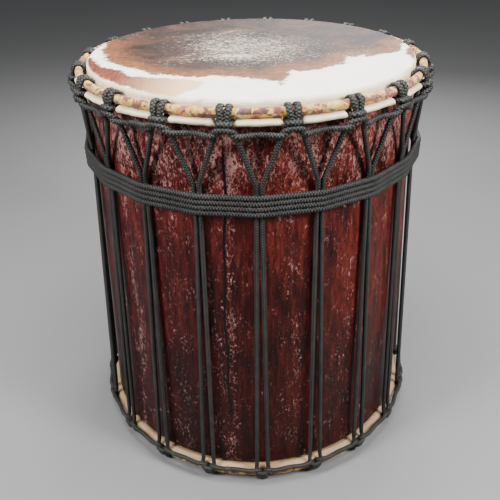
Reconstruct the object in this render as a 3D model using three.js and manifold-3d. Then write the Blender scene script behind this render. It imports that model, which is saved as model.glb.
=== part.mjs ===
// Two-headed ceremonial drum: a hollowed log with a hide lapped over each end, a cloth-wrapped
// hoop above each lap, a rope of cow hitches on each hoop, one long rope laced between the two
// hitch ropes, and a belt of rope that pulls the lacing into Vs. Millimetres, +Z up, origin at
// the centre of the bottom head's flat face.
import * as THREE from 'three';
import { mergeVertices } from 'three/addons/utils/BufferGeometryUtils.js';
import Module from 'manifold-3d';

// Driving dimensions of the whole drum.
const HEIGHT = 547;
const END_FLARE = 17;
const HITCH_COUNT = 20;
const GAP = 0.4;
const FACETS = 40;
const FIRST_V_AZIMUTH = 1.75;

// Shell, measured at the top end: outer radius, wall and the rounding of its bearing edge.
const SHELL_RADIUS = 208.2;
const SHELL_WALL = 18;
const SHELL_EDGE = 3.5;

// Hides: thickness, rounding over the bearing edge, and the rolled lap below the hoop.
const HIDE = 2;
const HIDE_EDGE = 5.5;
const HIDE_RADIUS = 210.5;
const LAP_RADIUS = 226.5;
const LAP_TOP = 16.2;
const LAP_HEIGHT = 8.5;

// Cloth-wrapped hoops: outer radius, half width, half height and depth below the head.
const HOOP_RADIUS = 225;
const HOOP_HALF_WIDTH = 4.75;
const HOOP_HALF_HEIGHT = 5.25;
const HOOP_DEPTH = 10.5;
const HOOP_SIDES = 6;

// Ropes.
const ROPE_RADIUS = 2.7;
const ROPE_SIDES = 4;
const STRAP = 4;
const HITCH_WIDTH = 15;
const BAR_REACH = 10.8;
const BAR_TOP = 15;
const BAR_HEIGHT = 5;
const STRAP_TUCK = 0.8;
const STRAP_LIP = 1.5;

// Where a hitch rope runs between two hitches: [offset along the rim, radius, depth].
const LEG_ROOT = [4.2, 229.8, 17.6];
const LEG_KNEE = [5.5, 229.8, 26];
const LEG_FOOT = [13, 235.4, 33.4];

// How the lacing turns round a hitch, in the same measures, from the arm to the middle.
const TURN_BEHIND = { top: [12.5, 226.4, 34.4], bottom: [10.5, 226.4, 35.5] };
const TURN_SIDE = { top: [14, 230, 26.4], bottom: [13.6, 230, 26.4] };
const TURN_FRONT = [8.5, 235.4, 23.4];

// Belt: turns of rope, drawn tight over the pairs of lacing.
const BELT_TOP = 100;
const BELT_TURNS = 4;
const BELT_PITCH = 6.6;
const BELT_OUTER = 229.4;
const BELT_THICKNESS = 6.2;
const BELT_GROOVE = 1.8;
const PAIR_HALF = 3;
const PAIR_RADIUS = 219.5;
const PAIR_ABOVE_BELT = 8;
const PAIR_BELOW_BELT = 2;

// The loose end of the lacing lies under the lap beside this hitch.
const TAIL_HITCH = 18;
const TAIL = [[-38, 224.6, 28.6], [-20, 227, 27]];
const LAST_ARM_END = [-12.6, 227, 33];

const PITCH = 360 / HITCH_COUNT;
const ENDS = {
  top: { flare: 0, height: (depth) => HEIGHT - depth },
  bottom: { flare: END_FLARE, height: (depth) => depth },
};

const wasm = await Module();
wasm.setup();

const COLOURS = {
  wood: new THREE.MeshStandardMaterial({ color: 0x5a1f1c, roughness: 0.38, metalness: 0 }),
  hide: new THREE.MeshStandardMaterial({ color: 0xf0e6d2, roughness: 0.6, metalness: 0 }),
  cloth: new THREE.MeshStandardMaterial({ color: 0xb58a58, roughness: 0.85, metalness: 0 }),
  rope: new THREE.MeshStandardMaterial({ color: 0x24262a, roughness: 0.6, metalness: 0 }),
};

// A curve that goes straight from corner to corner and is sampled at its corners only.
class CornerPath extends THREE.Curve {
  constructor(corners) {
    super();
    this.corners = corners;
  }

  corner(index) {
    const last = this.corners.length - 1;
    return this.corners[Math.min(Math.max(index, 0), last)];
  }

  getPointAt(share) {
    return this.corner(Math.round(share * (this.corners.length - 1))).clone();
  }

  getTangentAt(share) {
    const index = Math.round(share * (this.corners.length - 1));
    const here = this.corner(index);
    const before = here.clone().sub(this.corner(index - 1)).normalize();
    const after = this.corner(index + 1).clone().sub(here).normalize();
    return before.add(after).normalize();
  }
}

function arc(centre, radii, from, to, steps) {
  return Array.from({ length: steps + 1 }, (_, i) => {
    const angle = THREE.MathUtils.degToRad(from + ((to - from) * i) / steps);
    return [centre[0] + radii[0] * Math.cos(angle), centre[1] + radii[1] * Math.sin(angle)];
  });
}

// Turns an outline of [radius, depth] pairs at one end of the drum into [radius, z] points.
function placeOutline(outline, end) {
  return outline.map(([radius, depth]) => {
    return new THREE.Vector2(radius === 0 ? 0 : radius + end.flare, end.height(depth));
  });
}

// Revolves an outline about the drum's axis. Facets face the hitches and the lacing, and the
// radii hold at the middle of each facet.
function revolve(points, facets = FACETS) {
  const halfFacet = Math.PI / facets;
  const outline = points.map((point) => new THREE.Vector2(point.x / Math.cos(halfFacet), point.y));
  if (THREE.ShapeUtils.area(outline) < 0) {
    outline.reverse();
  }
  const start = THREE.MathUtils.degToRad(FIRST_V_AZIMUTH) - halfFacet;
  return new THREE.LatheGeometry(outline, facets, start).rotateX(Math.PI / 2);
}

function closed(outline) {
  return [...outline, outline[0]];
}

// The point [offset along the rim, radius, depth] beside an azimuth, at one end of the drum.
function besideAzimuth(azimuth, [offset, radius, depth], end) {
  const angle = THREE.MathUtils.degToRad(azimuth);
  const outward = new THREE.Vector3(Math.sin(angle), -Math.cos(angle), 0);
  const along = new THREE.Vector3(Math.cos(angle), Math.sin(angle), 0);
  return outward
    .multiplyScalar(radius + end.flare)
    .addScaledVector(along, offset)
    .setZ(end.height(depth));
}

function mirrored([offset, radius, depth]) {
  return [-offset, radius, depth];
}

function ropeAlong(corners) {
  const section = new THREE.Shape(
    arc([0, 0], [ROPE_RADIUS, ROPE_RADIUS], 0, 360, ROPE_SIDES)
      .slice(0, ROPE_SIDES)
      .map(([x, y]) => new THREE.Vector2(x, y)),
  );
  return new THREE.ExtrudeGeometry(section, {
    steps: corners.length - 1,
    extrudePath: new CornerPath(corners),
    bevelEnabled: false,
  });
}

function toSolid(geometry) {
  const bare = geometry.clone();
  bare.deleteAttribute('normal');
  bare.deleteAttribute('uv');
  const merged = mergeVertices(bare, 1e-4);
  return new wasm.Manifold(
    new wasm.Mesh({
      numProp: 3,
      vertProperties: new Float32Array(merged.attributes.position.array),
      triVerts: new Uint32Array(merged.index.array),
    }),
  );
}

function toGeometry(solid) {
  const mesh = solid.getMesh();
  const geometry = new THREE.BufferGeometry();
  geometry.setAttribute('position', new THREE.BufferAttribute(mesh.vertProperties, 3));
  geometry.setIndex(new THREE.BufferAttribute(mesh.triVerts, 1));
  geometry.computeVertexNormals();
  return geometry;
}

// The log: straight where a hide covers it, and widening evenly from the top to the bottom.
function shellGeometry() {
  const ledge = HIDE + GAP;
  const bore = SHELL_RADIUS - SHELL_WALL;
  const side = (end) => placeOutline(
    [
      [bore, ledge],
      [SHELL_RADIUS - SHELL_EDGE, ledge],
      [SHELL_RADIUS, ledge + SHELL_EDGE],
      [SHELL_RADIUS, LAP_TOP + LAP_HEIGHT],
    ],
    end,
  );
  return revolve(closed([...side(ENDS.bottom), ...side(ENDS.top).reverse()]));
}

// A hide: flat head, rounded over the bearing edge, straight down the shell, then the lap.
function headGeometry(end) {
  const edgeCentre = [HIDE_RADIUS - HIDE_EDGE, HIDE_EDGE];
  const lapHalf = LAP_HEIGHT / 2;
  const lapCentre = [(HIDE_RADIUS + LAP_RADIUS) / 2, LAP_TOP + lapHalf];
  const lapRadii = [(LAP_RADIUS - HIDE_RADIUS) / 2, lapHalf];
  const inner = HIDE_EDGE - HIDE;
  const outline = [
    [0, 0],
    ...arc(edgeCentre, [HIDE_EDGE, HIDE_EDGE], -90, 0, 2),
    ...arc(lapCentre, lapRadii, -180, 90, 4),
    [HIDE_RADIUS - HIDE, LAP_TOP + LAP_HEIGHT],
    ...arc(edgeCentre, [inner, inner], 0, -90, 1),
    [0, HIDE],
  ];
  return revolve(placeOutline(outline, end));
}

function hoopGeometry(end) {
  const centre = [HOOP_RADIUS - HOOP_HALF_WIDTH, HOOP_DEPTH];
  const section = arc(centre, [HOOP_HALF_WIDTH, HOOP_HALF_HEIGHT], 0, 360, HOOP_SIDES);
  return revolve(placeOutline(section, end));
}

// One hitch: the strap of rope that comes up behind the hoop, lies over it and comes down in
// front of it, and the bar of the hitch across its foot.
function hitchGeometry(azimuth, end) {
  const centre = [HOOP_RADIUS - HOOP_HALF_WIDTH, HOOP_DEPTH];
  const under = [HOOP_HALF_WIDTH + GAP, HOOP_HALF_HEIGHT + GAP];
  const over = [under[0] + STRAP, under[1] + STRAP];
  const barFace = HOOP_RADIUS + BAR_REACH;
  const lapFace = LAP_RADIUS + GAP;
  const outline = [
    [centre[0] - (over[0] + under[0]) / 2, LAP_TOP - STRAP_TUCK],
    ...arc(centre, over, -180, 0, 3),
    [barFace, BAR_TOP],
    [barFace, BAR_TOP + BAR_HEIGHT],
    [lapFace, BAR_TOP + BAR_HEIGHT + STRAP_LIP],
    ...arc(centre, under, 0, -180, 3),
  ];
  const shape = new THREE.Shape(placeOutline(outline, end));
  const geometry = new THREE.ExtrudeGeometry(shape, { depth: HITCH_WIDTH, bevelEnabled: false });
  geometry.translate(0, 0, -HITCH_WIDTH / 2);
  const angle = THREE.MathUtils.degToRad(azimuth);
  const outward = new THREE.Vector3(Math.sin(angle), -Math.cos(angle), 0);
  const back = new THREE.Vector3(-Math.cos(angle), -Math.sin(angle), 0);
  return geometry.applyMatrix4(
    new THREE.Matrix4().makeBasis(outward, new THREE.Vector3(0, 0, 1), back),
  );
}

// The hitch rope of one end: all its hitches and the runs of rope from each one to the next.
function hitchRopeGeometry(firstAzimuth, end) {
  let rope = null;
  for (let i = 0; i < HITCH_COUNT; i += 1) {
    const azimuth = firstAzimuth + i * PITCH;
    const leg = [LEG_ROOT, LEG_KNEE, LEG_FOOT];
    const run = [
      ...leg.map((point) => besideAzimuth(azimuth, point, end)),
      ...leg.map((point) => besideAzimuth(azimuth + PITCH, mirrored(point), end)).reverse(),
    ];
    const piece = toSolid(hitchGeometry(azimuth, end)).add(toSolid(ropeAlong(run)));
    rope = rope === null ? piece : rope.add(piece);
  }
  return toGeometry(rope);
}

function vAzimuth(index) {
  return FIRST_V_AZIMUTH + index * PITCH;
}

// The lacing's way round one hitch, from its left arm over the front to its right arm.
function turnRound(azimuth, endName) {
  const half = [TURN_BEHIND[endName], TURN_SIDE[endName], TURN_FRONT];
  return [...half.map(mirrored), ...half.reverse()].map((point) => {
    return besideAzimuth(azimuth, point, ENDS[endName]);
  });
}

// One strand of a pair where the belt presses it in, from the top down.
function strandUnderBelt(index, side) {
  const depths = [BELT_TOP - PAIR_ABOVE_BELT, BELT_TOP + BELT_TURNS * BELT_PITCH + PAIR_BELOW_BELT];
  return depths.map((depth) => {
    return besideAzimuth(vAzimuth(index), [side * PAIR_HALF, PAIR_RADIUS, depth], ENDS.top);
  });
}

// The whole lacing: up to a top hitch, down to the next V, round the bottom hitch below it,
// and so on round the drum, from the loose tail to the last arm.
function lacingGeometry() {
  const tailAzimuth = vAzimuth(TAIL_HITCH) + PITCH / 2;
  const corners = TAIL.map((point) => besideAzimuth(tailAzimuth, point, ENDS.top));
  corners.push(...turnRound(tailAzimuth, 'top').slice(1));
  for (let i = 1; i <= HITCH_COUNT; i += 1) {
    const index = TAIL_HITCH + i;
    corners.push(...strandUnderBelt(index, -1));
    corners.push(...turnRound(vAzimuth(index), 'bottom'));
    corners.push(...strandUnderBelt(index, 1).reverse());
    if (i < HITCH_COUNT) {
      corners.push(...turnRound(vAzimuth(index) + PITCH / 2, 'top'));
    }
  }
  corners.push(besideAzimuth(tailAzimuth, LAST_ARM_END, ENDS.top));
  return ropeAlong(corners);
}

// The belt: its turns lie against each other, and its sides go straight from pair to pair.
function beltGeometry() {
  const groove = BELT_OUTER - BELT_GROOVE;
  const inside = BELT_OUTER - BELT_THICKNESS;
  const bottom = BELT_TOP + BELT_TURNS * BELT_PITCH;
  const outline = [[inside, BELT_TOP], [groove, BELT_TOP]];
  for (let i = 0; i < BELT_TURNS; i += 1) {
    outline.push([BELT_OUTER, BELT_TOP + (i + 0.5) * BELT_PITCH]);
    outline.push([groove, BELT_TOP + (i + 1) * BELT_PITCH]);
  }
  outline.push([inside, bottom]);
  const points = placeOutline(closed(outline), ENDS.top);
  if (THREE.ShapeUtils.area(points) < 0) {
    points.reverse();
  }
  const start = THREE.MathUtils.degToRad(FIRST_V_AZIMUTH);
  return new THREE.LatheGeometry(points, HITCH_COUNT, start).rotateX(Math.PI / 2);
}

const drum = new THREE.Group();

function addPiece(name, geometry, material) {
  const mesh = new THREE.Mesh(geometry, material);
  mesh.name = name;
  drum.add(mesh);
}

addPiece('shell', shellGeometry(), COLOURS.wood);
addPiece('head_top', headGeometry(ENDS.top), COLOURS.hide);
addPiece('head_bottom', headGeometry(ENDS.bottom), COLOURS.hide);
addPiece('crown_ring_top', hoopGeometry(ENDS.top), COLOURS.cloth);
addPiece('crown_ring_bottom', hoopGeometry(ENDS.bottom), COLOURS.cloth);
addPiece('hitch_rope_top', hitchRopeGeometry(vAzimuth(0.5), ENDS.top), COLOURS.rope);
addPiece('hitch_rope_bottom', hitchRopeGeometry(vAzimuth(0), ENDS.bottom), COLOURS.rope);
addPiece('lacing_rope', lacingGeometry(), COLOURS.rope);
addPiece('belt_rope', beltGeometry(), COLOURS.rope);

export default drum;
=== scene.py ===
"""The looks of the rope-laced ceremonial drum: log, hides, cloth-wound hoops and braided ropes.

Shapes are worked out in millimetres and turned into metres when a mesh is made. A place is
given as an azimuth in degrees from the front (-Y) towards +X, and beside it an offset along the
rim, a radius from the drum's axis and a depth below the flat of that end's head.
"""
import math

import bpy
import numpy as np
from mathutils import Matrix, Vector


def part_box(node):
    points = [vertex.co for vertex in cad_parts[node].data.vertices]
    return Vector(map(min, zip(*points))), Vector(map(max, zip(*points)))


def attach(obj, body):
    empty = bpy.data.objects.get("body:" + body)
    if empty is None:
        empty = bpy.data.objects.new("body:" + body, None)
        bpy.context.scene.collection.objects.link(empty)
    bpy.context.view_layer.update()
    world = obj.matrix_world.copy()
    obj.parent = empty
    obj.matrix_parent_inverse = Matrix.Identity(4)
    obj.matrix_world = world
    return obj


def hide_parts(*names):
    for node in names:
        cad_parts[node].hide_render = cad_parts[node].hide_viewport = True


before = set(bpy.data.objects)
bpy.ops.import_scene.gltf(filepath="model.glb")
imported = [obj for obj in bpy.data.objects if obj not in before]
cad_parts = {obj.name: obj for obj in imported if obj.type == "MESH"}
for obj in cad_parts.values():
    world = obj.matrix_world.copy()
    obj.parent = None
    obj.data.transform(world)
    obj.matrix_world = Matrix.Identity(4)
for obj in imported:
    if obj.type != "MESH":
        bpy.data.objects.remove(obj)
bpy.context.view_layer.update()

MM = 0.001
RANDOM = np.random.default_rng(7)

HITCHES = 20
PITCH = 360.0 / HITCHES
FIRST_V = 1.75
CAD_FACET = math.cos(math.pi / 40)
RIM_MM_PER_DEGREE = 3.9
LOG_MM_PER_DEGREE = 3.7


def reach(node):
    """How far a CAD node reaches from the drum's axis, in millimetres."""
    return max(v.co.xy.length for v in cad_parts[node].data.vertices) / MM


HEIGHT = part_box("head_top")[1].z / MM
HOOP_OUTER = reach("crown_ring_top") * CAD_FACET
FLARE = (reach("crown_ring_bottom") - reach("crown_ring_top")) * CAD_FACET
SHELL_BOTTOM = reach("shell") * CAD_FACET
SHELL_TOP = SHELL_BOTTOM - FLARE
LAP_REACH = HOOP_OUTER + 1.5
HOOP_HALF = (4.75, 5.25)
HOOP_MIDDLE = (HOOP_OUTER - HOOP_HALF[0], 10.5)
HIDE_WALL = HOOP_OUTER - 14.5
HIDE_EDGE = 6.0
HIDE_THICK = 2.0
LAP_DEPTHS = (16.0, 24.6)
FLAT_RINGS = {"top": 54, "bottom": 14}
ROPE = 3.0
BRAID = 3.3
BRAID_CROSSINGS = 3
END_CONE = 0.5
ROPE_STEP = {"hitches": 0.9, "lacing": 2.0, "belt": 1.1}
ROPE_SIDES = {"hitches": 12, "lacing": 8, "belt": 12}
BRAID_RELIEF = {"hitches": 0.3, "lacing": 0.0, "belt": 0.26}
BELT_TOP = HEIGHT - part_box("belt_rope")[1].z / MM
BELT_REACH = reach("belt_rope")
BELT_TURNS = 4
BELT_STEP = 6.6
PAIR_REACH = BELT_REACH - 9.8
COLUMNS = 720
HOOP_COLUMNS = 1100
HOOP_SIDES = 22
WRAP = 15.0
WALL = 18.0
UNDER_HIDE = 24.7
LOG_ROWS = 96
CRACK = -9.2
CRACK_SPAN = ((60, 130), (540, 470))
CRACK_DEPTH = 2.6


# ---------------------------------------------------------------- places

def height_of(depth, end):
    """The height above the floor of a depth below the head of one end."""
    return HEIGHT - depth if end == "top" else depth


def flare_of(end):
    """How much wider the drum is at one end than at the top."""
    return 0.0 if end == "top" else FLARE


def place(azimuth, offset, radius, depth, end):
    """The point, or points, beside an azimuth at one end, in millimetres."""
    angle = np.radians(azimuth)
    out = np.asarray(radius, float) + flare_of(end)
    x = out * np.sin(angle) + offset * np.cos(angle)
    y = -out * np.cos(angle) + offset * np.sin(angle)
    z = height_of(np.asarray(depth, float), end) + 0 * x
    return np.stack(np.broadcast_arrays(x, y, z), axis=-1)


def smooth_step(value, low, high):
    """A smooth rise from 0 at low to 1 at high, or a fall where high is the smaller."""
    share = np.clip((value - low) / (high - low), 0, 1)
    return share * share * (3 - 2 * share)


def waves(*coordinates, seed, count=14, size=1.0):
    """Soft random relief between about -1 and 1, from a few sine waves."""
    source = np.random.default_rng(seed)
    total = 0
    for _ in range(count):
        turn = source.normal(size=len(coordinates)) / size
        phase = source.uniform(0, 2 * math.pi)
        total = total + np.sin(sum(t * c for t, c in zip(turn, coordinates)) + phase)
    return total / math.sqrt(count)


# ---------------------------------------------------------------- meshes

def signed_volume(points, triangles):
    """Six times the volume a closed mesh holds: negative where its faces look in."""
    a, b, c = (points[triangles[:, i]] for i in range(3))
    return np.einsum("ij,ij->i", a, np.cross(b, c)).sum()


def grid_quads(rows, columns, wrap_rows, wrap_columns):
    """The quads of a grid of points, and the row and column of each quad's corners."""
    i = np.arange(rows if wrap_rows else rows - 1)
    j = np.arange(columns if wrap_columns else columns - 1)
    i, j = (g.ravel() for g in np.meshgrid(i, j, indexing="ij"))
    next_i = (i + 1) % rows
    next_j = (j + 1) % columns
    quads = np.stack([i * columns + j, i * columns + next_j,
                      next_i * columns + next_j, next_i * columns + j], axis=1)
    corners = np.stack([np.stack([i, i, i + 1, i + 1], 1),
                        np.stack([j, j + 1, j + 1, j], 1)], axis=2)
    return quads, corners


def finish_mesh(name, points, quads, triangles, uv, values, material):
    """Makes a smooth object of quads and triangles that face out, with its UVs and values."""
    split = np.concatenate([quads[:, [0, 1, 2]], quads[:, [0, 2, 3]], triangles])
    if signed_volume(points, split) < 0:
        quads, triangles = quads[:, ::-1], triangles[:, ::-1]
        uv = None if uv is None else (uv[0][:, ::-1], uv[1][:, ::-1])
    mesh = bpy.data.meshes.new(name)
    mesh.from_pydata((points * MM).tolist(), [], quads.tolist() + triangles.tolist())
    mesh.shade_smooth()
    if uv is not None:
        layer = mesh.uv_layers.new(name="along")
        flat = np.concatenate([uv[0].reshape(-1, 2), uv[1].reshape(-1, 2)])
        layer.data.foreach_set("uv", flat.ravel().astype(np.float32))
    for key, value in (values or {}).items():
        attribute = mesh.attributes.new(key, "FLOAT", "POINT")
        attribute.data.foreach_set("value", np.asarray(value, np.float32).ravel())
    piece = bpy.data.objects.new(name, mesh)
    bpy.context.scene.collection.objects.link(piece)
    mesh.materials.append(material)
    return piece


def dress(piece, slot, *nodes):
    """Hangs the piece under the root and hides the CAD nodes it stands for. slot is not used."""
    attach(piece, "root")
    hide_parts(*nodes)
    return piece


# ---------------------------------------------------------------- ropes

def curve_through(corners, closed, step):
    """A smooth curve through the corners (centripetal Catmull-Rom), resampled at even steps."""
    points = np.asarray(corners, float)
    if closed:
        points = np.concatenate([points[-1:], points, points[:2]])
    else:
        first = 2 * points[0] - points[1]
        last = 2 * points[-1] - points[-2]
        points = np.concatenate([first[None], points, last[None]])
    spans = np.sqrt(np.linalg.norm(np.diff(points, axis=0), axis=1))
    pieces = []
    for k in range(1, len(points) - 2):
        before, here, after = spans[k - 1], spans[k], spans[k + 1]
        p0, p1, p2, p3 = points[k - 1:k + 3]
        start = here * ((p1 - p0) / before - (p2 - p0) / (before + here) + (p2 - p1) / here)
        finish = here * ((p2 - p1) / here - (p3 - p1) / (here + after) + (p3 - p2) / after)
        count = max(4, int(here * here / step * 1.5))
        t = np.linspace(0, 1, count, endpoint=False)[:, None]
        pieces.append((2 * t**3 - 3 * t**2 + 1) * p1 + (t**3 - 2 * t**2 + t) * start
                      + (3 * t**2 - 2 * t**3) * p2 + (t**3 - t**2) * finish)
    dense = np.concatenate(pieces + [points[-2][None]])
    run = np.concatenate([[0], np.cumsum(np.linalg.norm(np.diff(dense, axis=0), axis=1))])
    samples = np.linspace(0, run[-1], int(run[-1] / step) + 1)
    even = np.stack([np.interp(samples, run, dense[:, axis]) for axis in range(3)], axis=1)
    return even[:-1] if closed else even


def rope_piece(name, path, facing, thickness, width, sides, relief, closed, material):
    """A braided rope along a path. facing points away from what the rope is pressed against,
    thickness is its half size that way, and width its half size across. An open rope ends in
    two low cones."""
    count = len(path)
    if closed:
        tangent = np.roll(path, -1, axis=0) - np.roll(path, 1, axis=0)
    else:
        tangent = np.gradient(path, axis=0)
    tangent /= np.linalg.norm(tangent, axis=1, keepdims=True)
    normal = facing - (facing * tangent).sum(1, keepdims=True) * tangent
    normal /= np.linalg.norm(normal, axis=1, keepdims=True)
    across = np.cross(tangent, normal)
    run = np.concatenate([[0], np.cumsum(np.linalg.norm(np.diff(path, axis=0), axis=1))])
    total = run[-1] + (np.linalg.norm(path[0] - path[-1]) if closed else 0)
    braid = BRAID * total / max(1, round(total / BRAID)) / total
    turn = np.arange(sides) / sides
    bump = np.cos(2 * math.pi * run[:, None] / (braid * total)) * np.cos(
        2 * math.pi * BRAID_CROSSINGS * turn)
    scale = 1 + relief * bump / ROPE
    angle = 2 * math.pi * turn
    ring = ((np.cos(angle) * scale * np.reshape(thickness, (-1, 1)))[..., None] * normal[:, None]
            + (np.sin(angle) * scale * np.reshape(width, (-1, 1)))[..., None] * across[:, None])
    points = (path[:, None] + ring).reshape(-1, 3)
    quads, corners = grid_quads(count, sides, closed, True)
    length = np.append(run, total) / ROPE
    uv_quads = np.stack([length[corners[..., 0]], corners[..., 1] / sides], axis=-1)
    triangles = np.zeros((0, 3), int)
    uv_triangles = np.zeros((0, 3, 2))
    if not closed:
        tip = ROPE * END_CONE
        middles = np.stack([path[0] - tangent[0] * tip, path[-1] + tangent[-1] * tip])
        points = np.concatenate([points, middles])
        j = np.arange(sides)
        first = np.stack([np.full(sides, count * sides), (j + 1) % sides, j], axis=1)
        base = (count - 1) * sides
        last = np.stack([np.full(sides, count * sides + 1), base + j, base + (j + 1) % sides], 1)
        triangles = np.concatenate([first, last])
        uv_triangles = np.zeros((len(triangles), 3, 2))
    return finish_mesh(name, points, quads, triangles, (uv_quads, uv_triangles), None, material)


# Half a cow hitch, from the middle of its bar over the hoop and down to where it leaves for the
# next hitch. Each row is [offset along the rim, radius, depth].
HALF_HITCH = [
    (0.0, 232.8, 18.4), (3.4, 232.5, 18.6), (6.2, 230.6, 19.3), (7.0, 226.2, 19.8),
    (6.0, 219.8, 18.6), (5.2, 214.6, 15.2), (4.8, 213.0, 10.5), (4.6, 214.9, 5.2),
    (4.8, 220.3, 2.9), (4.8, 225.6, 5.0), (4.3, 227.9, 10.5), (3.3, 228.2, 15.0),
    (3.1, 228.6, 20.0), (3.5, 229.0, 24.5),
]
HITCH_EXIT = {
    "top": [(7.2, 230.8, 28.8), (13.0, 230.6, 31.6), (20.0, 227.4, 32.2)],
    "bottom": [(7.2, 231.6, 27.8), (13.0, 232.8, 28.8), (20.0, 232.4, 28.2)],
}
RUN_MIDDLE = {"top": (223.8, 32.0), "bottom": (231.2, 27.6)}

# A hitch rope is flattened within the first distance of the middle of the hoop's section, and
# round beyond the second.
TIGHT_TO_LOOSE = (8.2, 11.0)
TIGHT_THINNER = 0.7
TIGHT_WIDER = 0.75

# How the lacing turns round a hitch, from the middle of the turn to the arm.
HALF_TURN = {
    "top": [(0.0, 233.8, 24.0), (4.2, 233.5, 24.3), (8.2, 231.6, 26.2), (10.9, 228.2, 28.9),
            (12.1, 225.2, 32.4), (12.6, 223.4, 38.0)],
    "bottom": [(0.0, 234.2, 24.0), (4.2, 233.9, 24.3), (7.4, 232.2, 26.2), (8.4, 229.2, 28.9),
               (8.0, 227.4, 33.0), (7.6, 226.8, 40.0)],
}
TURN_ARM = 3
LAST_ARM_CORNERS = 2

# One strand of a pair, as [offset from the pair's middle, radius past the pair's, depth below the
# top of the belt].
STRAND = [(3.4, 0.3, -9), (3.05, 0.0, -3), (3.05, 0.0, 14), (3.1, 0.0, 29), (3.2, 0.9, 44)]
STRAND_SPREAD = 0.25

# The loose end of the lacing, beside this hitch.
TAIL_HITCH = 18
TAIL = [(-37.0, 225.4, 29.6), (-30.0, 226.2, 29.0), (-22.0, 229.0, 28.4), (-15.0, 232.4, 27.4)]


def mirrored(rows):
    """The rows with their offsets on the other side."""
    return [(-offset, radius, depth) for offset, radius, depth in rows]


def hitch_corners(azimuth, end, wobble):
    """The way of the hitch rope round one hitch, from left to right."""
    half = HALF_HITCH + HITCH_EXIT[end]
    table = np.array(mirrored(half[:0:-1]) + half)
    offset = table[:, 0] * wobble[1] + wobble[0]
    return place(azimuth, offset, table[:, 1] + wobble[2], table[:, 2], end)


def hitch_path(first, end, wobbles):
    """The closed way of one end's hitch rope, from the first hitch round to it again."""
    corners = []
    for i in range(HITCHES):
        azimuth = first + i * PITCH
        corners.append(hitch_corners(azimuth, end, wobbles[i]))
        corners.append(place(azimuth + PITCH / 2, 0.0, *RUN_MIDDLE[end], end)[None])
    return curve_through(np.concatenate(corners), True, ROPE_STEP["hitches"])


def hoop_centre(points, end):
    """The middle of the hoop's section beside each point."""
    out = np.linalg.norm(points[:, :2], axis=1, keepdims=True)
    radius = HOOP_MIDDLE[0] + flare_of(end)
    middle = points.copy()
    middle[:, :2] *= radius / out
    middle[:, 2] = height_of(HOOP_MIDDLE[1], end)
    return middle


def hitch_rope(end, first, wobbles, material):
    """The rope hitched round one hoop: flattened where it is pulled tight over the cloth."""
    path = hitch_path(first, end, wobbles)
    facing = path - hoop_centre(path, end)
    away = np.linalg.norm(facing, axis=1)
    pressed = 1 - smooth_step(away, *TIGHT_TO_LOOSE)
    thickness = ROPE - TIGHT_THINNER * pressed
    width = ROPE + TIGHT_WIDER * pressed
    piece = rope_piece(f"hitches_{end}", path, facing, thickness, width, ROPE_SIDES["hitches"],
                       BRAID_RELIEF["hitches"], True, material)
    return dress(piece, "rope", f"hitch_rope_{end}")


def turn_corners(azimuth, end, wobble):
    """The way of the lacing round one hitch, from left to right."""
    half = HALF_TURN[end]
    table = np.array(mirrored(half[:0:-1]) + half)
    return place(azimuth, table[:, 0] + wobble[0], table[:, 1] + wobble[2], table[:, 2], end)


def strand_corners(index, side, spread):
    """One strand of a pair behind the belt, from above it to below it."""
    table = np.array(STRAND) + (0, PAIR_REACH, BELT_TOP)
    table[-1, 0] += spread
    return place(FIRST_V + index * PITCH, side * table[:, 0], table[:, 1], table[:, 2], "top")


def straight(start, finish, shares=(0.08, 0.5, 0.92)):
    """Points on the line between two, which keep the curve through them straight."""
    return np.array([start + (finish - start) * share for share in shares])


def lacing_corners(wobbles_top, wobbles_bottom):
    """The whole lacing, from its loose end round the drum to its last arm."""
    tail_azimuth = FIRST_V + (TAIL_HITCH + 0.5) * PITCH
    tail = np.array(TAIL)
    turn = turn_corners(tail_azimuth, "top", wobbles_top[TAIL_HITCH])
    parts = [place(tail_azimuth, tail[:, 0], tail[:, 1], tail[:, 2], "top"), turn[TURN_ARM:]]
    for i in range(1, HITCHES + 1):
        index = TAIL_HITCH + i
        spread = STRAND_SPREAD * float(RANDOM.uniform(-1, 1))
        down = strand_corners(index, -1, spread)
        up = strand_corners(index, 1, spread)[::-1]
        bottom = turn_corners(FIRST_V + index * PITCH, "bottom", wobbles_bottom[index % HITCHES])
        after = turn_corners(FIRST_V + (index + 0.5) * PITCH, "top",
                             wobbles_top[index % HITCHES])
        if i == HITCHES:
            after = after[:LAST_ARM_CORNERS]
        for corners in (down, bottom, up, after):
            parts.append(straight(parts[-1][-1], corners[0]))
            parts.append(corners)
    return np.concatenate(parts)


def radial(points):
    """The level direction away from the drum's axis at each point."""
    out = points.copy()
    out[:, 2] = 0
    return out / np.linalg.norm(out, axis=1, keepdims=True)


TURN_DEPTHS = (44, 28)
TURN_LEAN = 0.35


def facing_for_lacing(path):
    """Away from the axis, but away from the nearer hoop where the rope turns round a hitch."""
    out = radial(path)
    arm, turn = TURN_DEPTHS
    low = smooth_step(path[:, 2], arm, turn)[:, None]
    high = smooth_step(path[:, 2], HEIGHT - arm, HEIGHT - turn)[:, None]
    up = np.array([0, 0, 1.0])
    return out + TURN_LEAN * low * up - TURN_LEAN * high * up


def lacing(wobbles_top, wobbles_bottom, material):
    """The long lacing, a little flattened where the belt presses on it."""
    corners = lacing_corners(wobbles_top, wobbles_bottom)
    path = curve_through(corners, False, ROPE_STEP["lacing"])
    below = HEIGHT - path[:, 2] - BELT_TOP
    under_belt = smooth_step(below, -6, 0) * smooth_step(below, 33, 27)
    thickness = ROPE - 0.25 * under_belt
    width = ROPE + 0.1 * under_belt
    piece = rope_piece("lacing", path, facing_for_lacing(path), thickness, width,
                       ROPE_SIDES["lacing"], BRAID_RELIEF["lacing"], False, material)
    return dress(piece, "rope", "lacing_rope")


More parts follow.
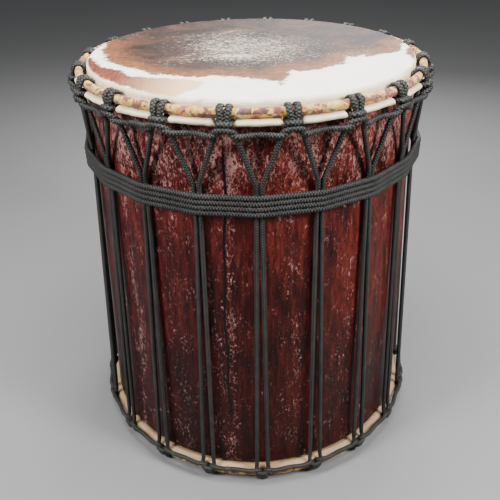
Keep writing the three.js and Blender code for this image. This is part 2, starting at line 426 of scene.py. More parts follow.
# The belt starts behind the drum at this pair. It begins to step down to its next row a share of
# a turn before that place comes round again, and takes a share of a turn over it.
BELT_PAIR = 10
BELT_START = BELT_PAIR + 0.35
STEP_EARLY = 0.06
STEP_LENGTH = 0.11
BELT_SWAY = 0.15
PAIR_HALF = 3.2
PAIR_DENT = 0.1
SPAN_BOW = 0.35


def belt_corners():
    """Four turns, straight from pair to pair, each stepping down behind the drum."""
    corners = []
    radius = BELT_REACH - ROPE - 0.3
    span_radius = radius * math.cos(math.radians(PITCH / 2)) + SPAN_BOW
    for k in range(BELT_PAIR, BELT_PAIR + BELT_TURNS * HITCHES):
        turns = (k - BELT_START) / HITCHES + STEP_EARLY
        step_down = float(smooth_step(np.array(turns % 1.0), 0.0, STEP_LENGTH))
        row = min(math.floor(turns) + step_down - 1, BELT_TURNS - 1)
        depth = BELT_TOP + BELT_STEP * (0.5 + max(row, 0))
        azimuth = FIRST_V + k * PITCH
        sway = BELT_SWAY * float(RANDOM.uniform(-1, 1))
        for offset in (-PAIR_HALF, PAIR_HALF):
            corners.append(place(azimuth, offset, radius - PAIR_DENT, depth + sway, "top"))
        corners.append(place(azimuth + PITCH / 2, 0.0, span_radius, depth + sway, "top"))
    return np.array(corners)


def belt(material):
    """The belt's rope, a little thicker than the lacing's, so that its rows touch."""
    path = curve_through(belt_corners(), False, ROPE_STEP["belt"])
    piece = rope_piece("belt", path, radial(path), ROPE + 0.2, ROPE + 0.28, ROPE_SIDES["belt"],
                       BRAID_RELIEF["belt"], False, material)
    return dress(piece, "rope", "belt_rope")


# ---------------------------------------------------------------- hides, hoops and log

def revolved(name, outline, columns, material, shift=None, values=None):
    """Revolves rows of [radius, height] about the axis. Rows at radius 0 become one point. shift
    moves the points, and values gives each of them its numbers for the material."""
    azimuth = np.arange(columns) * 360.0 / columns
    rows = np.array(outline, float)
    radius = np.repeat(rows[:, :1], columns, axis=1)
    height = np.repeat(rows[:, 1:], columns, axis=1)
    if shift is not None:
        radius, height = shift(radius, height, azimuth)
    angle = np.radians(azimuth)
    points = np.stack([radius * np.sin(angle), -radius * np.cos(angle), height], axis=-1)
    poles = [i for i in (0, len(rows) - 1) if rows[i, 0] == 0]
    body = points[1:-1] if poles else points
    quads, _ = grid_quads(len(body), columns, not poles, True)
    flat = body.reshape(-1, 3)
    triangles = np.zeros((0, 3), int)
    if poles:
        j = np.arange(columns)
        last = (len(body) - 1) * columns
        total = len(flat)
        triangles = np.concatenate([
            np.stack([np.full(columns, total), (j + 1) % columns, j], 1),
            np.stack([np.full(columns, total + 1), last + j, last + (j + 1) % columns], 1)])
        flat = np.concatenate([flat, points[0, :1], points[-1, :1]])
    extra = None if values is None else values(flat)
    return finish_mesh(name, flat, quads, triangles, None, extra, material)


def arc(centre, radii, start, finish, steps):
    """Points on an ellipse's arc, between two angles in degrees."""
    angle = np.radians(np.linspace(start, finish, steps + 1))
    return np.stack([centre[0] + radii[0] * np.cos(angle), centre[1] + radii[1] * np.sin(angle)],
                    axis=1)


def away_from_hitch(azimuth, first):
    """Distance along the rim from the nearest hitch, in millimetres."""
    turns = (azimuth - first) / PITCH
    return np.abs(turns - np.round(turns)) * math.radians(PITCH) * LAP_REACH


def hide_outline(end):
    """A hide's section as [radius, depth]: head, bearing edge, wall, lap, and its inside."""
    edge = (HIDE_WALL - HIDE_EDGE, HIDE_EDGE)
    lap = ((HIDE_WALL + LAP_REACH) / 2, sum(LAP_DEPTHS) / 2)
    lap_half = ((LAP_REACH - HIDE_WALL) / 2, (LAP_DEPTHS[1] - LAP_DEPTHS[0]) / 2)
    inner = HIDE_EDGE - HIDE_THICK
    rings = FLAT_RINGS[end]
    flat = np.stack([np.linspace(0, edge[0], rings, endpoint=False), np.zeros(rings)], axis=1)
    wall = np.stack([np.full(5, HIDE_WALL), np.linspace(HIDE_EDGE + 1.5, lap[1] - 2, 5)], axis=1)
    return np.concatenate([
        flat, arc(edge, (HIDE_EDGE, HIDE_EDGE), -90, 0, 9), wall, arc(lap, lap_half, -170, 90, 22),
        [[HIDE_WALL - HIDE_THICK, LAP_DEPTHS[1]], [HIDE_WALL - HIDE_THICK, HIDE_EDGE + 6]],
        arc(edge, (inner, inner), 0, -90, 3), [[0, HIDE_THICK]]])


def hide_shift(end, first):
    """Squeezes the lap where a hitch crosses it, and makes the hide a little uneven."""
    lap_middle = np.array([(HIDE_WALL + LAP_REACH) / 2, sum(LAP_DEPTHS) / 2])
    squeezed_middle = np.array([HIDE_WALL + 7.2, LAP_DEPTHS[1] - 1.3])

    def shift(radius, depth, azimuth):
        columns = np.broadcast_to(azimuth, radius.shape)
        around = columns * RIM_MM_PER_DEGREE
        beside = away_from_hitch(columns, first)
        free = smooth_step(beside, 7.6, 12.5)
        bulge = 0.5 * np.exp(-((beside - 14) / 3.5) ** 2)
        ripple = 0.28 * waves(around, depth, seed=5, size=9)
        ripple = ripple + 0.16 * waves(around, depth, seed=6, size=2.5)
        on_lap = (smooth_step(radius, HIDE_WALL + 0.02, HIDE_WALL + 2.5)
                  * smooth_step(depth, 12, 15))
        out = lap_middle[0] + (radius - lap_middle[0]) * (1 + 0.05 * bulge) + ripple + 0.5 * bulge
        low = lap_middle[1] + (depth - lap_middle[1]) * (1 + 0.1 * bulge) + 0.5 * ripple
        tight_out = squeezed_middle[0] + (radius - lap_middle[0]) * 0.84
        tight_low = squeezed_middle[1] + (depth - lap_middle[1]) * 0.42
        new_radius = radius + on_lap * (free * out + (1 - free) * tight_out - radius)
        new_depth = depth + on_lap * (free * low + (1 - free) * tight_low - depth)
        spread = np.clip(radius / HIDE_WALL, 0, 1)
        new_depth = new_depth + (1 - on_lap) * np.where(depth < 1, 0.18, 0.0) * (
            waves(radius * np.cos(np.radians(columns)), radius * np.sin(np.radians(columns)),
                  seed=11, size=28) + 1.6) * smooth_step(spread, 1.0, 0.9)
        flare = np.where(radius > 0, flare_of(end), 0.0) * smooth_step(radius, 0, 60)
        return new_radius + flare, height_of(new_depth, end)

    return shift


def beyond_line(points, line):
    """Signed distance from a line of corners that runs towards +X: positive behind it (+Y)."""
    corners = np.array(line, float)
    best = np.full(len(points), 1e9)
    for start, finish in zip(corners[:-1], corners[1:]):
        along = finish - start
        share = np.clip(((points - start) @ along) / (along @ along), 0, 1)
        gap = np.linalg.norm(points - (start + share[:, None] * along), axis=1)
        best = np.minimum(best, gap)
    behind = points[:, 1] > np.interp(points[:, 0], corners[:, 0], corners[:, 1])
    return np.where(behind, best, -best)


def inside_outline(points, outline):
    """Signed distance from a closed outline: positive inside."""
    corners = np.array(outline + outline[:1], float)
    inside = np.zeros(len(points), bool)
    best = np.full(len(points), 1e9)
    for a, b in zip(corners[:-1], corners[1:]):
        along = b - a
        share = np.clip(((points - a) @ along) / (along @ along), 0, 1)
        best = np.minimum(best, np.linalg.norm(points - (a + share[:, None] * along), axis=1))
        crosses = (a[1] > points[:, 1]) != (b[1] > points[:, 1])
        with np.errstate(divide="ignore", invalid="ignore"):
            at = a[0] + (points[:, 1] - a[1]) / (b[1] - a[1]) * along[0]
        inside ^= crosses & (points[:, 0] < at)
    return np.where(inside, best, -best)


# The coat of the top head, in millimetres across it: where the dark hair ends towards the
# front, the chestnut patch on the left of the rim, the tip of it on the right, and the worn spot.
DARK_EDGE = [(-230, 60), (-198, 46), (-198, 13), (-187, -21), (-174, -50), (-161, -65),
             (-138, -87), (-113, -108), (-75, -123), (-55, -124), (-43, -119), (-1, -131),
             (24, -144), (32, -159), (39, -140), (44, -108), (78, -105), (94, -89), (115, -72),
             (122, -47), (157, -38), (186, -29), (191, -20), (202, 17), (240, 34)]
CHESTNUT = [(-212, -10), (-196, -38), (-187, -60), (-168, -80), (-152, -91), (-143, -112),
            (-106, -123), (-87, -129), (-54, -138), (-52, -160), (-64, -175), (-80, -198),
            (-105, -187), (-137, -157), (-171, -123), (-192, -92), (-206, -54)]
RIGHT_TIP = [(214, 26), (193, -32), (199, -72), (212, -40)]
WORN = [(-88, 26), (-72, 76), (-15, 92), (55, 63), (73, 8), (48, -48), (-13, -67), (-63, -40)]


def coat_values(flat):
    """Distances, in units of 10 mm, from the edges of the coat's fields, positive inside."""
    across = flat[:, :2]
    return {
        "dark": beyond_line(across, DARK_EDGE) / 10,
        "chestnut": np.maximum(inside_outline(across, CHESTNUT),
                               inside_outline(across, RIGHT_TIP)) / 10,
        "worn": inside_outline(across, WORN) / 10,
    }


def hide(end, first, material):
    """One hide, drawn over the end of the log and rolled out under its hoop."""
    values = coat_values if end == "top" else None
    piece = revolved(f"hide_{end}", hide_outline(end), COLUMNS, material, hide_shift(end, first),
                     values)
    return dress(piece, "hide", f"head_{end}")


def hoop(end, material):
    """A hoop wound with a strip of cloth: each turn laps over the last with a small step."""
    radius = HOOP_MIDDLE[0] + flare_of(end)
    run = np.arange(HOOP_COLUMNS)[:, None] / HOOP_COLUMNS
    turn = np.arange(HOOP_SIDES)[None] / HOOP_SIDES
    wraps = round(2 * math.pi * radius / WRAP)
    phase = (run * wraps + turn) % 1.0
    lip = 0.45 * smooth_step(phase, 0.0, 0.86) * smooth_step(phase, 1.0, 0.9)
    crease = 0.16 * waves(run * 2 * math.pi * radius, turn * 30, seed=21, size=3.0, count=20)
    size = 1 + (lip + crease - 0.2) / HOOP_HALF[0]
    angle = 2 * math.pi * turn
    out = radius + HOOP_HALF[0] * size * np.cos(angle)
    low = HOOP_MIDDLE[1] + HOOP_HALF[1] * size * np.sin(angle)
    points = place(run * 360.0, 0.0, out - flare_of(end), low, end)
    quads, corners = grid_quads(HOOP_COLUMNS, HOOP_SIDES, True, True)
    uv = np.stack([corners[..., 0] / HOOP_COLUMNS * wraps, corners[..., 1] / HOOP_SIDES], axis=-1)
    piece = finish_mesh(f"cloth_hoop_{end}", points.reshape(-1, 3), quads, np.zeros((0, 3), int),
                        (uv, np.zeros((0, 3, 2))), None, material)
    return dress(piece, "cloth", f"crown_ring_{end}")


def crack_line(height):
    """The azimuth of the long drying crack at a height."""
    return CRACK + 0.45 * np.sin(height / 61) + 0.25 * np.sin(height / 17 + 1) + height / 900


def crack_open(height):
    """How far the crack is open at a height: it closes towards both ends."""
    low, high = CRACK_SPAN
    return smooth_step(height, *low) * smooth_step(height, *high)


def swell(height):
    """How far the log stands out beyond an even taper, fading out under the hides."""
    share = 1 - height / HEIGHT
    below_top = smooth_step(height, HEIGHT - UNDER_HIDE, HEIGHT - 70)
    return (2.0 + 10.0 * share) * below_top * smooth_step(height, UNDER_HIDE, 31)


def shell_shift(radius, height, azimuth):
    """Moves the log's outside: its swell, its unevenness, the marks of tools and the crack."""
    columns = np.broadcast_to(azimuth, radius.shape)
    around = columns * LOG_MM_PER_DEGREE
    outside = radius > SHELL_TOP - 6
    uneven = 0.35 * waves(around, height / 6, seed=31, size=30)
    tooling = 0.12 * waves(around, height / 9, seed=32, size=5, count=24)
    beside = (columns - crack_line(height)) * math.radians(1) * SHELL_TOP
    width = 1.1 + 0.7 * np.sin(height / 23) + 0.5 * np.sin(height / 7.3)
    gap = CRACK_DEPTH * crack_open(height) * np.exp(-(beside / np.maximum(width, 0.6)) ** 2)
    covered = smooth_step(height, HEIGHT - 25, HEIGHT - 36) * smooth_step(height, 25, 36)
    return radius + outside * (swell(height) + covered * (uneven + tooling - 0.4 - gap)), height


# Upright lines of wear on the log, as [azimuth, strength, width in degrees].
WORN_LINES = [(-45, 1.0, 2.0), (12.5, 0.5, 1.6), (-26, 0.35, 4.0), (33, 0.4, 2),
              (70, 0.6, 3), (128, 0.7, 3), (-120, 0.6, 4), (175, 0.7, 3)]


def shell_values(flat):
    """How worn and flecked the finish is, with more flecks near the top as painted highlight, and
    how near the crack a point lies, for the crack's painted shade.
    """
    azimuth = np.degrees(np.arctan2(flat[:, 0], -flat[:, 1]))
    height = flat[:, 2]
    beside = (azimuth - crack_line(height)) * math.radians(1) * SHELL_TOP
    # Painted highlight: the top band gets more pale flecks, where the light falls most strongly.
    worn = 1.3 * smooth_step(height, HEIGHT - 160, HEIGHT - 60)
    worn = worn + 0.8 * np.exp(-((beside - 5) / 6.5) ** 2) + 0.4 * np.exp(-((beside + 8) / 5) ** 2)
    for line, strength, width in WORN_LINES:
        wander = line + 1.2 * np.sin(height / 80 + line)
        worn = worn + strength * np.exp(-((azimuth - wander) / width) ** 2)
    return {"worn": worn, "crack": np.exp(-(beside / 1.9) ** 2) * crack_open(height)}


def shell(material):
    """The hollow log. It is stepped in under the hides, where it is covered."""
    ledge = HIDE_THICK + 0.4
    bore = SHELL_TOP - WALL
    covered = np.array([ledge + 3.5, UNDER_HIDE])
    depths = np.concatenate([covered, np.linspace(27, HEIGHT - 33, LOG_ROWS),
                             [HEIGHT - 31, HEIGHT - 28], HEIGHT - covered[::-1]])
    widening = (depths - covered[1]) / (HEIGHT - covered[1])
    radius = SHELL_TOP + FLARE * np.clip(widening, 0, 1)
    outside = np.stack([radius, HEIGHT - depths], axis=1)
    top = [[bore, HEIGHT - ledge], [SHELL_TOP - 3.5, HEIGHT - ledge]]
    bottom = [[SHELL_BOTTOM - 3.5, ledge], [bore + FLARE, ledge]]
    outline = np.concatenate([top, outside, bottom])
    piece = revolved("log", outline, COLUMNS, material, shell_shift, shell_values)
    return dress(piece, "wood", "shell")


# ---------------------------------------------------------------- materials

class Paint:
    """Small helpers for a procedural material on a Principled shader."""

    def __init__(self, name, roughness):
        self.material = bpy.data.materials.new(name)
        self.material.use_nodes = True
        self.tree = self.material.node_tree
        self.shader = self.tree.nodes["Principled BSDF"]
        self.shader.inputs["Roughness"].default_value = roughness

    def node(self, kind, inputs=None, **settings):
        made = self.tree.nodes.new(kind)
        for key, value in settings.items():
            setattr(made, key, value)
        for key, value in (inputs or {}).items():
            self.feed(made.inputs[key], value)
        return made

    def feed(self, socket, value):
        if isinstance(value, bpy.types.NodeSocket):
            self.tree.links.new(value, socket)
        else:
            socket.default_value = value

    def position(self, stretch=(1, 1, 1)):
        where = self.node("ShaderNodeTexCoord").outputs["Object"]
        return self.node("ShaderNodeMapping", {"Vector": where, "Scale": stretch}).outputs[0]

    def along(self, stretch=(1, 1, 1)):
        where = self.node("ShaderNodeUVMap", uv_map="along").outputs[0]
        return self.node("ShaderNodeMapping", {"Vector": where, "Scale": stretch}).outputs[0]

    def value(self, name):
        return self.node("ShaderNodeAttribute", attribute_name=name).outputs["Fac"]

    def noise(self, where, scale, detail=3.0, roughness=0.5, distortion=0.0):
        made = self.node("ShaderNodeTexNoise", {"Vector": where, "Scale": scale, "Detail": detail,
                                                "Roughness": roughness, "Distortion": distortion})
        return made.outputs["Fac"]

    def math(self, operation, first, second=0.0):
        made = self.node("ShaderNodeMath", operation=operation)
        self.feed(made.inputs[0], first)
        self.feed(made.inputs[1], second)
        return made.outputs[0]

    def step(self, value, low, high, to_low=0.0, to_high=1.0):
        """value between low and high becomes a smooth rise from to_low to to_high."""
        made = self.node("ShaderNodeMapRange", {"Value": value, "From Min": low, "From Max": high,
                                                "To Min": to_low, "To Max": to_high},
                         interpolation_type="SMOOTHSTEP")
        return made.outputs["Result"]

    def ramp(self, value, stops):
        made = self.node("ShaderNodeValToRGB", {"Fac": value})
        elements = made.color_ramp.elements
        for spare in list(elements)[1:]:
            elements.remove(spare)
        elements[0].position, elements[0].color = stops[0][0], (*stops[0][1], 1)
        for position, colour in stops[1:]:
            elements.new(position).color = (*colour, 1)
        return made.outputs["Color"]

    def mix(self, share, first, second, blend="MIX"):
        made = self.node("ShaderNodeMix", data_type="RGBA", blend_type=blend)
        self.feed(made.inputs["Factor"], share)
        for socket, colour in zip(made.inputs[6:8], (first, second)):
            self.feed(socket, (*colour, 1) if isinstance(colour, tuple) else colour)
        return made.outputs[2]

    def bump(self, height, distance, strength=1.0):
        return self.node("ShaderNodeBump", {"Height": height, "Distance": distance,
                                            "Strength": strength}).outputs[0]

    def finish(self, colour, normal=None, roughness=None):
        self.feed(self.shader.inputs["Base Color"], colour)
        if normal is not None:
            self.feed(self.shader.inputs["Normal"], normal)
        if roughness is not None:
            self.feed(self.shader.inputs["Roughness"], roughness)
        return self.material


def wood_material():
    """Oxblood stain under varnish: long grain, dark and red fields, and pale flecks, with painted
    light: lighter on the right, painted shade towards the floor and in the crack, and the flecks
    crowded near the top as painted highlight.
    """
    paint = Paint("oxblood wood", 0.4)
    grain_place = paint.position((1, 1, 0.12))
    grain = paint.noise(grain_place, 190, 6, 0.62, 0.4)
    field = paint.noise(paint.position((1, 1, 0.45)), 17, 5, 0.6, 0.6)
    tone = paint.math("ADD", paint.math("MULTIPLY", grain, 0.55),
                      paint.math("MULTIPLY", field, 0.45))
    colour = paint.ramp(tone, [(0.36, (0.012, 0.003, 0.003)), (0.45, (0.038, 0.006, 0.006)),
                               (0.53, (0.085, 0.012, 0.010)), (0.62, (0.15, 0.024, 0.017)),
                               (0.72, (0.22, 0.045, 0.030))])
    across = paint.node("ShaderNodeSeparateXYZ", {"Vector": paint.position()})
    # Painted light: the right (+X) side of the log is made lighter and warmer and the left side
    # darker and cooler, as the side lamps fall on it.
    side = paint.step(across.outputs["X"], -0.16, 0.14)
    painted_side_light = paint.mix(side, (0.75, 0.55, 0.78), (1.15, 0.95, 0.62))
    colour = paint.mix(0.6, colour, painted_side_light, "MULTIPLY")
    # Painted shade: the log is darkened towards the floor, below about 0.45 m, where less of the
    # light reaches it.
    above_painted_shade = paint.step(across.outputs["Z"], 0.03, 0.45)
    colour = paint.mix(above_painted_shade, paint.mix(1.0, colour, (0.34, 0.25, 0.25), "MULTIPLY"), colour)
    fine = paint.noise(paint.position((1, 1, 0.55)), 330, 4, 0.7, 1.0)
    patches = paint.noise(paint.position((1, 1, 0.4)), 55, 4, 0.7)
    # The pale flecks are the finish's own specks; the worn value also crowds them near the top as
    # painted highlight.
    worn = paint.value("worn")
    wear_and_top_highlight = paint.math("ADD", paint.math("MULTIPLY", worn, 0.085),
                               paint.math("MULTIPLY", paint.math("SUBTRACT", patches, 0.5), 0.42))
    flecks = paint.step(paint.math("ADD", fine, wear_and_top_highlight), 0.60, 0.72)
    colour = paint.mix(paint.math("MULTIPLY", flecks, 0.8), colour, (0.40, 0.20, 0.18))
    pits = paint.step(paint.noise(paint.position((1, 1, 0.5)), 260, 3, 0.7, 0.8), 0.46, 0.38)
    colour = paint.mix(paint.math("MULTIPLY", pits, 0.7), colour, (0.014, 0.004, 0.004))
    # Painted shade: the crack is painted near black along its line, for the shade down inside it.
    crack = paint.step(paint.value("crack"), 0.25, 0.8)
    colour = paint.mix(crack, colour, (0.006, 0.003, 0.003))
    relief = paint.math("ADD", paint.math("MULTIPLY", grain, 0.6), paint.math("MULTIPLY", fine, 0.5))
    normal = paint.bump(relief, 0.0012, 0.8)
    rough = paint.step(tone, 0.35, 0.7, 0.32, 0.5)
    paint.shader.inputs["Specular IOR Level"].default_value = 0.16
    return paint.finish(colour, normal, rough)


WHITE_HAIR = (0.88, 0.85, 0.79)
HAIR_RELIEF = 0.0009


def rawhide_colour(paint):
    """Bare rawhide with waxy, slightly darker clouds and a little grime."""
    clouds = paint.noise(paint.position((1, 1, 2)), 45, 4, 0.6, 0.5)
    return paint.ramp(clouds, [(0.3, (0.62, 0.47, 0.27)), (0.45, (0.78, 0.66, 0.44)),
                               (0.62, (0.86, 0.77, 0.58)), (0.8, (0.88, 0.82, 0.68))])


def hair_bump(paint):
    """The relief of short hairs that lie from left to right."""
    strands = paint.noise(paint.position((60, 900, 300)), 1.0, 3, 0.6, 0.3)
    return paint.bump(strands, HAIR_RELIEF, 0.7)


def coat_material():
    """The top head: dark hair, chestnut edges, white hair and a worn, rubbed spot."""
    paint = Paint("cowhide top", 0.62)
    where = paint.position()
    ragged = paint.noise(where, 70, 6, 0.75, 0.3)
    hairs = paint.noise(paint.position(), 420, 3, 0.7, 0.6)
    wobble = paint.math("ADD", paint.math("MULTIPLY", paint.math("SUBTRACT", ragged, 0.5), 6.0),
                        paint.math("MULTIPLY", paint.math("SUBTRACT", hairs, 0.5), 3.4))
    dark = paint.math("ADD", paint.value("dark"), paint.math("MULTIPLY", wobble, 0.55))
    field = paint.noise(where, 22, 5, 0.65, 0.8)
    hair = paint.ramp(field, [(0.36, (0.012, 0.006, 0.005)), (0.5, (0.028, 0.013, 0.009)),
                              (0.66, (0.068, 0.027, 0.015))])
    rust = paint.ramp(paint.noise(where, 160, 4, 0.7), [(0.35, (0.10, 0.034, 0.014)),
                                                       (0.65, (0.27, 0.10, 0.036))])
    near_edge = paint.step(paint.math("ADD", paint.value("dark"), wobble), 4.6, 0.9)
    hair = paint.mix(paint.math("MULTIPLY", near_edge, 0.85), hair, rust)
    streaks = paint.noise(paint.position((190, 330, 200)), 1.0, 4, 0.75, 1.2)
    rubbed = paint.math("ADD", paint.value("worn"),
                        paint.math("MULTIPLY", paint.math("SUBTRACT", ragged, 0.5), 7.0))
    rub = paint.step(rubbed, -6.0, 5.0, 0.0, 0.15)
    thin = paint.step(paint.noise(paint.position((6, 14, 10)), 1.0, 3, 0.6), 0.5, 0.7, 0.0, 0.09)
    pale = paint.step(paint.math("ADD", streaks, paint.math("ADD", rub, thin)), 0.645, 0.72)
    hair = paint.mix(paint.math("MULTIPLY", pale, 0.85), hair, (0.62, 0.52, 0.42))
    white = paint.ramp(paint.noise(where, 30, 4, 0.6), [(0.3, (0.84, 0.79, 0.70)),
                                                       (0.6, WHITE_HAIR)])
    colour = paint.mix(paint.step(dark, -0.08, 0.1), white, hair)
    inner = paint.math("ADD", paint.value("chestnut"), paint.math("MULTIPLY", wobble, 0.45))
    across = paint.node("ShaderNodeSeparateXYZ", {"Vector": where})
    fade = paint.step(across.outputs["X"], -0.16, -0.04)
    brush = paint.noise(paint.position((300, 60, 100)), 1.0, 3, 0.7, 0.5)
    chestnut = paint.ramp(brush, [(0.35, (0.07, 0.017, 0.009)), (0.65, (0.22, 0.058, 0.026))])
    chestnut = paint.mix(fade, chestnut, (0.80, 0.52, 0.30))
    right_side = paint.step(across.outputs["X"], 0.1, 0.15)
    chestnut = paint.mix(right_side, chestnut, rust)
    colour = paint.mix(paint.step(inner, -0.15, 0.3), colour, chestnut)
    out = paint.node("ShaderNodeVectorMath", {0: paint.position((1, 1, 0))}, operation="LENGTH")
    rim = paint.math("ADD", out.outputs["Value"], paint.math("MULTIPLY", ragged, 0.004))
    front = paint.step(across.outputs["Y"], 0.04, -0.05)
    below = paint.step(across.outputs["Z"], (HEIGHT - 6) * MM, (HEIGHT - 9) * MM)
    bare = paint.math("MULTIPLY", paint.step(rim, 0.2085, 0.2115),
                      paint.math("MAXIMUM", front, below))
    colour = paint.mix(bare, colour, rawhide_colour(paint))
    normal = hair_bump(paint)
    paint.shader.inputs["Specular IOR Level"].default_value = 0.2
    return paint.finish(colour, normal)


def plain_hide_material():
    """The bottom head: bare rawhide at the lap and short pale hair on the face, darkened all over as
    painted shade.
    """
    paint = Paint("cowhide bottom", 0.62)
    where = paint.position()
    out = paint.node("ShaderNodeVectorMath", {0: paint.position((1, 1, 0))}, operation="LENGTH")
    field = paint.noise(where, 9, 5, 0.65, 0.9)
    hair = paint.ramp(field, [(0.42, (0.07, 0.036, 0.028)), (0.49, (0.22, 0.10, 0.05)),
                              (0.53, (0.78, 0.72, 0.62)), (0.7, WHITE_HAIR)])
    bare = paint.step(out.outputs["Value"], 0.219, 0.223)
    colour = paint.mix(bare, hair, rawhide_colour(paint))
    normal = hair_bump(paint)
    # Painted shade: the whole bottom head is a darkened copy of the same rawhide and hair, for the
    # dim foot of the drum.
    colour = paint.mix(1.0, colour, (0.5, 0.38, 0.31), "MULTIPLY")
    return paint.finish(colour, normal)


def cloth_material():
    """Printed cotton: soft swirls of yellow, orange, maroon and green on every turn."""
    paint = Paint("printed cotton", 0.8)
    parts = paint.node("ShaderNodeSeparateXYZ", {"Vector": paint.along()})
    turn = paint.math("FLOOR", paint.math("ADD", parts.outputs["X"], parts.outputs["Y"]))
    shift = paint.node("ShaderNodeCombineXYZ", {"X": paint.math("MULTIPLY", turn, 0.37),
                                                "Y": paint.math("MULTIPLY", turn, 0.11)})
    where = paint.node("ShaderNodeVectorMath", {0: paint.position(), 1: shift.outputs[0]},
                       operation="ADD").outputs[0]
    swirl = paint.noise(where, 34, 2, 0.45, 2.2)
    second = paint.noise(where, 48, 2, 0.5, 1.6)
    colour = paint.ramp(swirl, [(0.32, (0.09, 0.03, 0.024)), (0.44, (0.19, 0.058, 0.04)),
                                (0.48, (0.55, 0.17, 0.035)), (0.53, (0.66, 0.36, 0.05)),
                                (0.58, (0.62, 0.46, 0.09)), (0.64, (0.22, 0.08, 0.06))])
    accent = paint.ramp(second, [(0.58, (0.20, 0.24, 0.06)), (0.7, (0.60, 0.56, 0.26))])
    colour = paint.mix(paint.step(second, 0.58, 0.64), colour, accent)
    colour = paint.mix(paint.step(second, 0.43, 0.39), colour, (0.17, 0.055, 0.05))
    weave = paint.node("ShaderNodeTexWave", {"Vector": where, "Scale": 900.0, "Distortion": 0.6})
    fine = paint.math("ADD", weave.outputs["Fac"], paint.noise(where, 1500, 2, 0.5))
    paint.shader.inputs["Sheen Weight"].default_value = 0.15
    return paint.finish(colour, paint.bump(fine, 0.0002, 0.5))


def rope_material():
    """Charcoal braided rope: strands that cross under and over, each of fine fibres, with a painted
    highlight on the crests of the braid.
    """
    paint = Paint("charcoal braid", 0.55)
    parts = paint.node("ShaderNodeSeparateXYZ", {"Vector": paint.along()})
    length = paint.math("MULTIPLY", parts.outputs["X"], 2 * math.pi * ROPE / BRAID)
    round_it = paint.math("MULTIPLY", parts.outputs["Y"], 2 * math.pi * BRAID_CROSSINGS)
    braid = paint.math("MULTIPLY", paint.math("COSINE", length), paint.math("COSINE", round_it))
    fibre = paint.noise(paint.along((6, 18, 1)), 3.0, 3, 0.6)
    wear = paint.noise(paint.position(), 60, 4, 0.6)
    # Painted highlight: the braid's crests are made lighter; the fibres and wear give the rope's own
    # uneven tone.
    crest_highlight_and_tone = paint.math("ADD", paint.math("MULTIPLY", braid, 0.3),
                       paint.math("ADD", paint.math("MULTIPLY", fibre, 0.6),
                                  paint.math("MULTIPLY", wear, 0.4)))
    colour = paint.ramp(crest_highlight_and_tone, [(0.25, (0.003, 0.0032, 0.003)), (0.5, (0.011, 0.011, 0.0105)),
                                (0.72, (0.06, 0.058, 0.053))])
    height = paint.math("ADD", braid, paint.math("MULTIPLY", fibre, 0.5))
    paint.shader.inputs["Specular IOR Level"].default_value = 0.3
    return paint.finish(colour, paint.bump(height, 0.0004, 0.9))


def plain_material(name, colour, roughness):
    """One colour, with a faint cloudiness."""
    paint = Paint(name, roughness)
    paint.shader.inputs["Specular IOR Level"].default_value = 0.2
    clouds = paint.noise(paint.position(), 1.5, 2, 0.5)
    return paint.finish(paint.ramp(clouds, [(0.3, tuple(c * 0.97 for c in colour)), (0.7, colour)]))


# ---------------------------------------------------------------- camera, light and floor

# The photo's camera: its place in radii of the hoop, behind and above the head, its turns in
# degrees, and its focal length as a share of the picture's width.
CAMERA_BACK = 3.5417
CAMERA_UP = 0.82655
CAMERA_PITCH = 31.791
CAMERA_YAW = -0.4307
CAMERA_ROLL = -1.1175
CAMERA_FOCAL = 593.83 / 500
SENSOR = 36.0


def make_camera():
    """The camera of the photo, which looks down at the front of the drum."""
    pitch, yaw, roll = (math.radians(v) for v in (CAMERA_PITCH, CAMERA_YAW, CAMERA_ROLL))
    forward = Vector((math.sin(yaw) * math.cos(pitch), math.cos(yaw) * math.cos(pitch),
                      -math.sin(pitch)))
    level = Vector((math.cos(yaw), -math.sin(yaw), 0))
    upward = level.cross(forward)
    right = math.cos(roll) * level + math.sin(roll) * upward
    up = -math.sin(roll) * level + math.cos(roll) * upward
    data = bpy.data.cameras.new("camera")
    data.sensor_width = SENSOR
    data.lens = SENSOR * CAMERA_FOCAL
    camera = bpy.data.objects.new("camera", data)
    bpy.context.scene.collection.objects.link(camera)
    turn = Matrix((right, up, -forward)).transposed().to_4x4()
    place_at = Vector((0, -CAMERA_BACK * HOOP_OUTER, HEIGHT + CAMERA_UP * HOOP_OUTER)) * MM
    camera.matrix_world = Matrix.Translation(place_at) @ turn
    bpy.context.scene.camera = camera


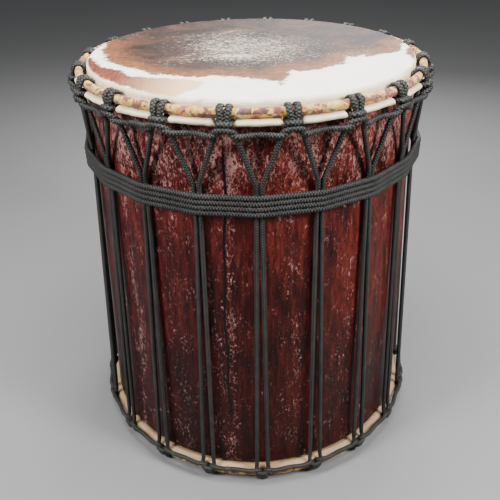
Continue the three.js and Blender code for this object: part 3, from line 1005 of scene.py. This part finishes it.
def area_light(name, where, towards, size, power):
    """A soft lamp of so many metres that looks towards a point."""
    data = bpy.data.lights.new(name, "AREA")
    data.shape = "RECTANGLE"
    data.size, data.size_y = size
    data.energy = power
    lamp = bpy.data.objects.new(name, data)
    bpy.context.scene.collection.objects.link(lamp)
    lamp.location = where
    lamp.rotation_euler = (Vector(towards) - Vector(where)).to_track_quat("-Z", "Y").to_euler()


def make_studio():
    """Soft light from both sides, above and behind, and a grey floor."""
    world = bpy.data.worlds.new("studio")
    bpy.context.scene.world = world
    world.use_nodes = True
    world.node_tree.nodes["Background"].inputs["Color"].default_value = (0.9, 0.92, 0.95, 1)
    world.node_tree.nodes["Background"].inputs["Strength"].default_value = 0.22
    middle = (0, 0, HEIGHT * MM * 0.8)
    area_light("left", (-1.05, -0.75, 1.2), middle, (0.35, 0.5), 29)
    area_light("right", (1.05, -0.7, 1.2), middle, (0.35, 0.5), 35)
    area_light("above", (0, -0.15, 1.5), (0, 0, 0.5), (0.9, 0.7), 34)
    area_light("behind", (0.35, 1.35, 1.2), middle, (0.8, 0.6), 26)
    points = np.array([(-6, -6, 0), (6, -6, 0), (6, 6, 0), (-6, 6, 0)], float)
    mesh = bpy.data.meshes.new("floor")
    mesh.from_pydata(points.tolist(), [], [(0, 1, 2, 3)])
    mesh.materials.append(plain_material("pale floor", (0.22, 0.22, 0.22), 0.9))
    floor = bpy.data.objects.new("floor", mesh)
    bpy.context.scene.collection.objects.link(floor)


# ---------------------------------------------------------------- the drum

def hitch_wobbles():
    """Small differences from hitch to hitch: [along the rim, spread, outward]."""
    return np.stack([RANDOM.uniform(-0.8, 0.8, HITCHES), RANDOM.uniform(0.94, 1.06, HITCHES),
                     RANDOM.uniform(-0.35, 0.35, HITCHES)], axis=1)


make_camera()
top_wobbles = hitch_wobbles()
bottom_wobbles = hitch_wobbles()
rope_finish = rope_material()
shell(wood_material())
hide("top", FIRST_V + PITCH / 2, coat_material())
hide("bottom", FIRST_V, plain_hide_material())
cloth_finish = cloth_material()
hoop("top", cloth_finish)
hoop("bottom", cloth_finish)
hitch_rope("top", FIRST_V + PITCH / 2, top_wobbles, rope_finish)
hitch_rope("bottom", FIRST_V, bottom_wobbles, rope_finish)
lacing(top_wobbles, bottom_wobbles, rope_finish)
belt(rope_finish)
make_studio()
